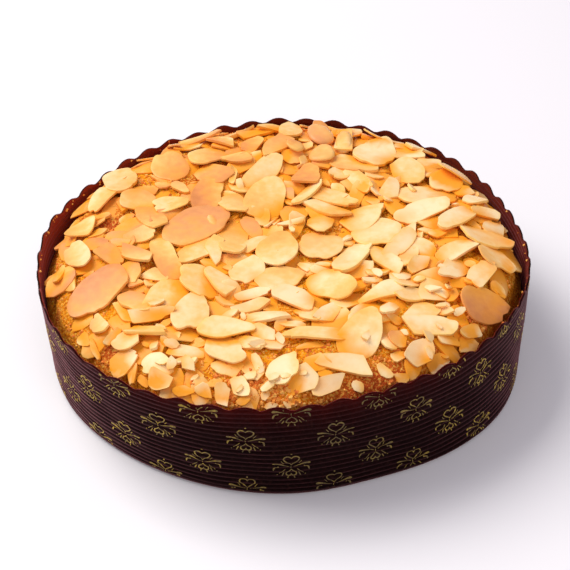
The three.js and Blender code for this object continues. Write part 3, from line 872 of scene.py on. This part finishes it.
# Rounded lumps of almond near the back, listed like the chips.
LUMPS = np.array([
    [14, 68, 16, 11, 105, 0.7], [24, 63, 17, 7, 88, 0.5], [15, 52, 13, 11, 85, 0.6],
    [3, 56, 9, 8, -60, 0.6],
])
LUMP_THICK = 3.4
LUMP_SINK = 1.4


def heaped(heaps, rng):
    """Spots scattered about the heaps, drawn in from the edge of the cake, as two rows of x and y."""
    each = np.repeat(heaps, heaps[:, 3].astype(int), axis=0)
    x, y = each[:, :2].T + each[:, 2] * rng.standard_normal((2, len(each)))
    inward = np.minimum(1, (top_edge(np.arctan2(y, x)) - 2) / np.hypot(x, y))
    return x * inward, y * inward


def chips_on_top(surface):
    """Rows and beds of the chips: the listed ones, and small slender ones in heaps."""
    rng = np.random.default_rng(78)
    x, y = heaped(CHIP_HEAPS, rng)
    size, slim, turn, toast = rng.random((4, len(x)))
    length = 2.8 + 4 * size
    rows = np.stack([x, y, length, length * (0.4 + 0.4 * slim), 360 * turn, 0.1 + 0.4 * toast], -1)
    rows = np.concatenate([CHIPS, rows])
    return rows, np.array([lay(row, surface, CHIP_THICK, CHIP_SINK) for row in rows])


flake_top = topping.copy()
chip_rows, chip_beds = chips_on_top(topping)
lump_beds = np.array([lay(row, topping, LUMP_THICK, LUMP_SINK) for row in LUMPS])
print("chips:", len(chip_rows), "and lumps:", len(LUMPS))

# %% How deep a point lies
# A point counts as fully sunken, and takes the full painted warm shade, from this much below the slack.
FULL_DEPTH = 0.9


def windows(values, reach):
    """The square of cells round each cell that reaches this many cells to each side."""
    size = 2 * reach + 1
    return np.lib.stride_tricks.sliding_window_view(np.pad(values, reach, mode="edge"), (size, size))


# The highest cover of almonds near each cell, smoothed twice.
ceiling = windows(flake_top - bare_top, 2).max((2, 3))
ceiling = windows(ceiling, 1).mean((2, 3))
ceiling = windows(ceiling, 1).mean((2, 3))


def sunken(points, slack):
    """How deep each point lies below the flakes within 2 mm of it: 0 down to the slack, then up to 1.

    Heights are taken from the bare sponge, so that its slope doesn't count.
    """
    place = np.clip(points[:, :2].T + REACH, 0, 2 * REACH - 1)
    i, j = place.astype(int)
    a, b = place - [i, j]
    cover = blended(lambda p, q: ceiling[q, p], i, j, a, b)
    height = points[:, 2] - sponge_top(points[:, 0], points[:, 1])
    return np.clip((cover - height - slack) / FULL_DEPTH, 0, 1)


# How deep the sponge lies under the flakes sets its painted warm shade.
sponge_warm_shade = sunken(cake_flat, slack=0.3)
add_values(sponge, "low", np.append(sponge_warm_shade, [0, 0]))
print("sponge in deep gaps:", round(float((sponge_warm_shade > 0.5).mean()), 2))

# %% [markdown]
# ## The almond flakes
# A flake is a thin slice through an almond: a drop-shaped oval with flat faces and a crisp edge, slightly
# warped by the oven. Some are snapped, which leaves a straight side. All flakes of a kind are worked out at
# once as one array: flake, ring, point around. Each ring takes a share of the outline and of the thickness.

# %% Flake surfaces
# Share of the outline, share of the thickness and share of painted edge light of each ring, from the lower
# face to the upper.
FLAKE_RINGS = np.array([
    [0.98, 0.0, 1.0], [1.0, 0.1, 1.0], [1.0, 0.88, 1.0],
    [0.98, 1.0, 0.6], [0.8, 1.0, 0.15], [0.4, 1.0, 0.0],
])
PIECE_RINGS = np.array([[1.0, 0.0, 1.0], [1.0, 0.85, 1.0], [0.95, 1.0, 0.4]])
LUMP_RINGS = np.array([
    [0.9, 0.0, 0.6], [1.0, 0.25, 0.5], [0.95, 0.6, 0.3], [0.75, 0.88, 0.1], [0.4, 0.98, 0.0],
])


def spread(values, size):
    """Each row of values moved and scaled to run from minus half its size to plus half of it."""
    low, high = values.min(1, keepdims=True), values.max(1, keepdims=True)
    return ((values - low) / (high - low) - 0.5) * size


def outlines(rows, sides, cuts, rng):
    """Outlines of many flakes as along and across: wavering drop shapes with straight cuts, at full size.

    A drop is a rounded oblong, a cosine and a sine raised to a power. Its width is taken times a power of
    the sine of half the angle, so that it narrows toward one end. Slender ones are squarer and don't
    narrow. Three small bites are bell curves in the radius. A cut is a line, mostly across an end or along
    a side: points past it are drawn back toward the centre until they meet it.
    """
    count = len(rows)
    t = 2 * np.pi * (np.arange(sides) + 0.25 * rng.random((count, sides))) / sides
    wide = np.clip((rows[:, 3] / rows[:, 2] - 0.35) / 0.25, 0, 1)[:, None]
    square = 0.55 + 0.35 * wide + 0.15 * rng.random((count, 1))
    point = 0.7 * wide * rng.random((count, 1))
    phase = rng.random((count, 4, 1)) * 2 * np.pi
    waver = 1 + 0.035 * np.sin(2 * t + phase[:, 0]) + 0.03 * np.sin(3 * t + phase[:, 1])
    waver = waver + 0.018 * np.sin(5 * t + phase[:, 2]) + 0.014 * np.sin(8 * t + phase[:, 3])
    for _ in range(3):
        at, deep, wide_bite = rng.random((3, count, 1))
        off = np.angle(np.exp(1j * (t - 2 * np.pi * at))) / (0.1 + 0.2 * wide_bite)
        waver = waver * (1 - 0.2 * deep * np.exp(-off ** 2))
    u = rows[:, 2, None] * np.sign(np.cos(t)) * np.abs(np.cos(t)) ** square * waver
    v = rows[:, 3, None] * np.sign(np.sin(t)) * np.abs(np.sin(t)) ** square * waver
    v = v * np.abs(np.sin(t / 2)) ** point
    for nearest in cuts.T[:, :, None]:
        facing = np.pi / 2 * rng.integers(0, 4, (count, 1)) + 1.2 * (rng.random((count, 1)) - 0.5)
        toward = u * np.cos(facing) + v * np.sin(facing)
        limit = toward.max(1, keepdims=True) * (nearest + (1.3 - nearest) * rng.random((count, 1)))
        scale = np.minimum(1, limit / np.maximum(toward, 1e-6))
        u, v = u * scale, v * scale
    return spread(u, rows[:, 2, None]), spread(v, rows[:, 3, None])


def stand(local, places, slopes, turn):
    """Turns flakes from their own axes to their beds: along the turn, across it, and up from the slope."""
    c, s = np.cos(turn), np.sin(turn)
    along = np.stack([c, s, c * slopes[:, 0] + s * slopes[:, 1]], -1)
    along /= np.linalg.norm(along, axis=1, keepdims=True)
    up = np.stack([-slopes[:, 0], -slopes[:, 1], np.ones(len(slopes))], -1)
    up /= np.linalg.norm(up, axis=1, keepdims=True)
    axes = np.stack([along, np.cross(up, along), up], 1)
    return places[:, None, :] + local @ axes


def flake_points(rows, beds, kind, rng):
    """Points of many flakes, each with its rings and two poles, and where each point lies on its flake.

    Slender slices are thicker. Upward, a slice is slightly wedge-shaped, bent along its length, dished and
    twisted. The slopes of its bed, with a little more tilt where it lies well inside the edge of the cake,
    then turn it, and its bed's centre places it, with its top at full height.
    """
    count, sides, rings = len(rows), kind["sides"], kind["rings"]
    u, v = outlines(rows, sides, np.broadcast_to(kind["cuts"], (count, np.shape(kind["cuts"])[-1])), rng)
    ends = np.zeros((count, 2))
    u = np.concatenate([(u[:, None, :] * rings[:, :1]).reshape(count, -1), ends], 1)
    v = np.concatenate([(v[:, None, :] * rings[:, :1]).reshape(count, -1), ends], 1)
    rise = np.append(np.repeat(rings[:, 1], sides), [0.0, 1.0])
    share_u, share_v = 2 * u / rows[:, 2, None], 2 * v / rows[:, 3, None]
    warp = (rng.random((4, count, 1)) - 0.5) * np.array([1.8, 1.6, 0.6, 0.6])[:, None, None]
    bend, twist, wedge, dish = warp * np.minimum(1, rows[:, 2, None] / 14)
    stout = np.clip(1.6 - 1.2 * rows[:, 3, None] / rows[:, 2, None], 0.6, 1.1)
    thick = kind["thick"] * stout * (0.75 + 0.35 * rng.random((count, 1)))
    w = kind["thick"] + (rise - 1) * thick * (1 + wedge * share_u)
    w = w + bend * (share_u ** 2 - 0.3) + twist * share_u * share_v + dish * (share_v ** 2 - 0.3)
    edge_room = top_edge(np.arctan2(beds[:, 1], beds[:, 0])) - np.hypot(beds[:, 0], beds[:, 1])
    loose = kind["tilt"] * np.clip(edge_room / 20, 0.1, 1)[:, None]
    slopes = beds[:, 3:] + loose * (2 * rng.random((count, 2)) - 1)
    points = stand(np.stack([u, v, w], -1), beds[:, :3], slopes, np.radians(rows[:, 4]))
    return points, share_u, share_v


# %% Almond finish
def ramp(tree, value, stops):
    """A colour that runs through stops, each a place on the scale from 0 to 1 and a colour."""
    scale = add_node(tree, "ValToRGB", {"Fac": value})
    for _ in stops[2:]:
        scale.color_ramp.elements.new(0.5)
    for element, (place, colour) in zip(scale.color_ramp.elements, stops):
        element.position = place
        element.color = colour
    return scale.outputs["Color"]


def almond_finish():
    """Toasted almond: cream to brown and mottled, some pinker, with pale cut edges, and amber deep in gaps.

    The pale edges are painted light through the thin sides, and the amber is painted warm shade.
    Well toasted flakes take on less of the amber.
    """
    finish, tree, shader = new_finish("toasted_almond")
    toast = stored(tree, "toast")
    mottled = add_node(tree, "Math", {0: toast, 1: ranged(tree, grain(tree, 320.0), 0.3, 0.7, -0.13, 0.13)})
    face = ramp(tree, ranged(tree, mottled.outputs[0], 0.0, 1.5), [
        (0.0, srgb(255, 230, 184)), (0.17, srgb(254, 217, 158)), (0.35, srgb(250, 194, 110)),
        (0.55, srgb(244, 168, 88)), (0.75, srgb(228, 146, 86)), (1.0, srgb(194, 118, 68))])
    pink = mixed(tree, stored(tree, "pink"), face, srgb(252, 196, 144))
    patch = ranged(tree, grain(tree, 150.0), 0.52, 0.75, 0.0, 0.35)
    scorched = mixed(tree, patch, pink, srgb(248, 172, 60))
    # Painted light on the thin sides: pale gold as if light passes through the edge.
    rim = mixed(tree, ranged(tree, toast, 0.4, 1.0), srgb(255, 206, 104), srgb(236, 158, 76))
    edge = mixed(tree, stored(tree, "edge"), scorched, rim)
    # Painted warm shade: amber where an almond lies deep between others, less on well toasted ones.
    warm_shade_share = ranged(tree, toast, 0.6, 1.3, 0.9, 0.2)
    amber = add_node(tree, "Math", {0: stored(tree, "low"), 1: warm_shade_share}, operation="MULTIPLY").outputs[0]
    deep = mixed(tree, amber, edge, srgb(250, 160, 12))
    feed(tree, shader, {"Base Color": deep, "Roughness": 0.36, "Specular IOR Level": 0.2})
    roughen(tree, shader, grain(tree, 800.0, 3.0), 0.0001, 0.5)
    return finish


almond = almond_finish()
print("finish:", almond.name)


# %% Whole flakes, pieces, chips and lumps
# Edges that turn by more than this many degrees stay crisp.
CRISP = 30
LUMP_CRISP = 80
# How much more toasted the almonds are toward the back left: toasting in part, and in part painted shade at
# the back left and painted light toward the front right.
TOAST_AND_SHADE_LEAN = 0.42
# Each cut lies at least this share of the way out from the centre.
PIECE_CUTS = [0.3, 0.4, 0.5]
LUMP_CUTS = [0.85, 0.95]


def add_flakes(name, rows, beds, kind, seed, crisp=CRISP):
    """One piece that holds many flakes, with values on each point: toasted, pink, painted edge light, and
    low for painted warm shade.
    """
    rng = np.random.default_rng(seed)
    points, share_u, share_v = flake_points(rows, beds, kind, rng)
    count, rings = points.shape[0], kind["rings"]
    flat = points.reshape(-1, 3)
    faces = repeated_faces(count, len(rings), kind["sides"])
    piece = add_piece(name, flat, faces, "cake", almond, crisp)
    drift, across = 0.7 * (rng.random((2, count, 1)) - 0.5)
    # Toasting and painted shade lean: darker toward the back left, paler toward the front right.
    baked = TOAST_AND_SHADE_LEAN * np.clip((0.6 * rows[:, 1:2] - rows[:, :1]) / 80, -0.35, 1)
    add_values(piece, "toast", rows[:, 5, None] + baked + drift * share_u + across * share_v)
    pink = 0.4 * rng.random((count, 1)) ** 2
    add_values(piece, "pink", np.broadcast_to(pink, share_u.shape))
    # Painted edge light: how much each ring takes, varied by flake.
    painted_edge_light = np.append(np.repeat(rings[:, 2], kind["sides"]), [1.0, 0.0])
    add_values(piece, "edge", painted_edge_light * (0.3 + 0.6 * rng.random((count, 1))))
    # How deep each point lies sets its painted warm shade.
    add_values(piece, "low", sunken(flat, kind["slack"]))


# Large flakes are mostly whole, and small ones are cut deeper.
flake_area = flake_rows[:, 2:3] * flake_rows[:, 3:4]
flake_cuts = np.clip((flake_area - 80) / 240, 0, 1) * 0.4 + np.array([0.3, 0.4, 0.5, 0.6])
# Sides are the points around, tilt is how loosely a kind lies, and slack is the depth where the painted
# warm shade in amber starts.
whole = dict(rings=FLAKE_RINGS, cuts=flake_cuts, sides=40, thick=FLAKE, tilt=0.15, slack=0.5)
broken = dict(rings=PIECE_RINGS, cuts=PIECE_CUTS, sides=12, thick=PIECE_THICK, tilt=0.2, slack=0.3)
small = dict(rings=PIECE_RINGS, cuts=PIECE_CUTS, sides=8, thick=CHIP_THICK, tilt=0.4, slack=0.6)
rounded = dict(rings=LUMP_RINGS, cuts=LUMP_CUTS, sides=18, thick=LUMP_THICK, tilt=0.1, slack=0.8)
add_flakes("almond_flakes", flake_rows, flake_beds, whole, seed=5)
add_flakes("almond_pieces", piece_rows, piece_beds, broken, seed=7)
add_flakes("almond_chips", chip_rows, chip_beds, small, seed=9)
add_flakes("almond_lumps", LUMPS, lump_beds, rounded, seed=11, crisp=LUMP_CRISP)

# %% [markdown]
# ## Crumbs
# Where no almond covers it, the sponge is rough with grains of crumb, gold and brown. Looser crumbs lie in
# a few heaps, mostly near the front edge, and some cling to the inner side of the paper rim. Each crumb is
# a small lump: a stretched ball with an uneven surface.

# %% Loose crumbs
# Heaps of crumbs on the sponge: centre x, centre y, spread and number.
CRUMB_HEAPS = np.array([
    [-16, -79, 6, 120], [-6, -80, 5, 140], [1, -79, 5, 140], [-34, -76, 5, 80], [66, -45, 5, 80],
    [-52, 35, 7, 60], [-62, -58, 6, 40], [34, -64, 6, 60],
])
HEAP_SCALE = 1.7
RIM_CRUMBS = 46
# Middles of the two parts of the rim that have crumbs, and how far the crumbs spread along them.
LEFT_PART = math.radians(165)
RIGHT_PART = math.radians(-22)
PART_SPREAD = math.radians(26)
GRAIN_TRIALS = 14000
CRUMB_AROUND = 6
CRUMB_RINGS = 3


def crumb_points(places, sizes, rng):
    """Points of many crumbs: rings of a ball, each point pushed in or out a little, and two poles."""
    rise = np.linspace(-np.pi / 2, np.pi / 2, CRUMB_RINGS + 2)[1:-1, None]
    turn = 2 * np.pi * np.arange(CRUMB_AROUND)[None, :] / CRUMB_AROUND
    ball = round_points(turn, np.cos(rise), np.sin(rise)).reshape(-1, 3)
    ball = np.concatenate([ball, [[0, 0, -1], [0, 0, 1]]])
    push = 1 + 0.9 * (rng.random((len(places), len(ball), 1)) - 0.5)
    stretch = 0.7 + 0.6 * rng.random((len(places), 1, 3))
    return places[:, None, :] + ball * push * stretch * sizes[:, None, None]


def crumb_spots(rng):
    """Where crumbs lie on the sponge: in the heaps, and over its bare parts, fewer on the dark crust."""
    heap_x, heap_y = heaped(CRUMB_HEAPS, rng)
    x, y = even_spots(*rng.random((2, GRAIN_TRIALS)), 0.5)
    i, j = np.rint(np.stack([x, y])).astype(int) + REACH
    bare = (flake_top[j, i] < bare_top[j, i] + 0.1) & (crust(x, y) < rng.random(GRAIN_TRIALS))
    x, y = np.append(heap_x, x[bare]), np.append(heap_y, y[bare])
    return np.stack([x, y, sponge_top(x, y) + crumb(x, y)], -1)


def rim_spots(rng):
    """Where crumbs cling to the inner side of the rim, along two parts of it."""
    side = np.where(rng.random(RIM_CRUMBS) < 0.65, LEFT_PART, RIGHT_PART)
    angle = side + PART_SPREAD * rng.standard_normal(RIM_CRUMBS)
    z = rim_height(angle) - 0.3 - 1.5 * rng.random(RIM_CRUMBS)
    return round_points(angle, wall_radius(angle, z) - PAPER - 0.2, z)


def crumb_finish():
    """Dry sponge crumb, from pale gold to brown by the lump."""
    finish, tree, shader = new_finish("loose_crumb")
    tone = ramp(tree, stored(tree, "tone"), [
        (0.0, srgb(255, 194, 96)), (0.45, srgb(248, 158, 58)), (1.0, srgb(224, 114, 38))])
    feed(tree, shader, {"Base Color": tone, "Roughness": 0.8})
    roughen(tree, shader, grain(tree, 2200.0, 3.0), 0.0003, 0.8)
    return finish


crumb_rng = np.random.default_rng(10)
spots = np.concatenate([crumb_spots(crumb_rng), rim_spots(crumb_rng)])
crumb_sizes = 0.2 + 0.45 * crumb_rng.random(len(spots)) ** 2
crumb_sizes[:int(CRUMB_HEAPS[:, 3].sum())] *= HEAP_SCALE
crumbs = add_piece(
    "loose_crumbs", crumb_points(spots, crumb_sizes, crumb_rng).reshape(-1, 3),
    repeated_faces(len(spots), CRUMB_RINGS, CRUMB_AROUND), "cake", crumb_finish(), CRISP)
add_values(crumbs, "tone", np.repeat(crumb_rng.random(len(spots)), CRUMB_RINGS * CRUMB_AROUND + 2))
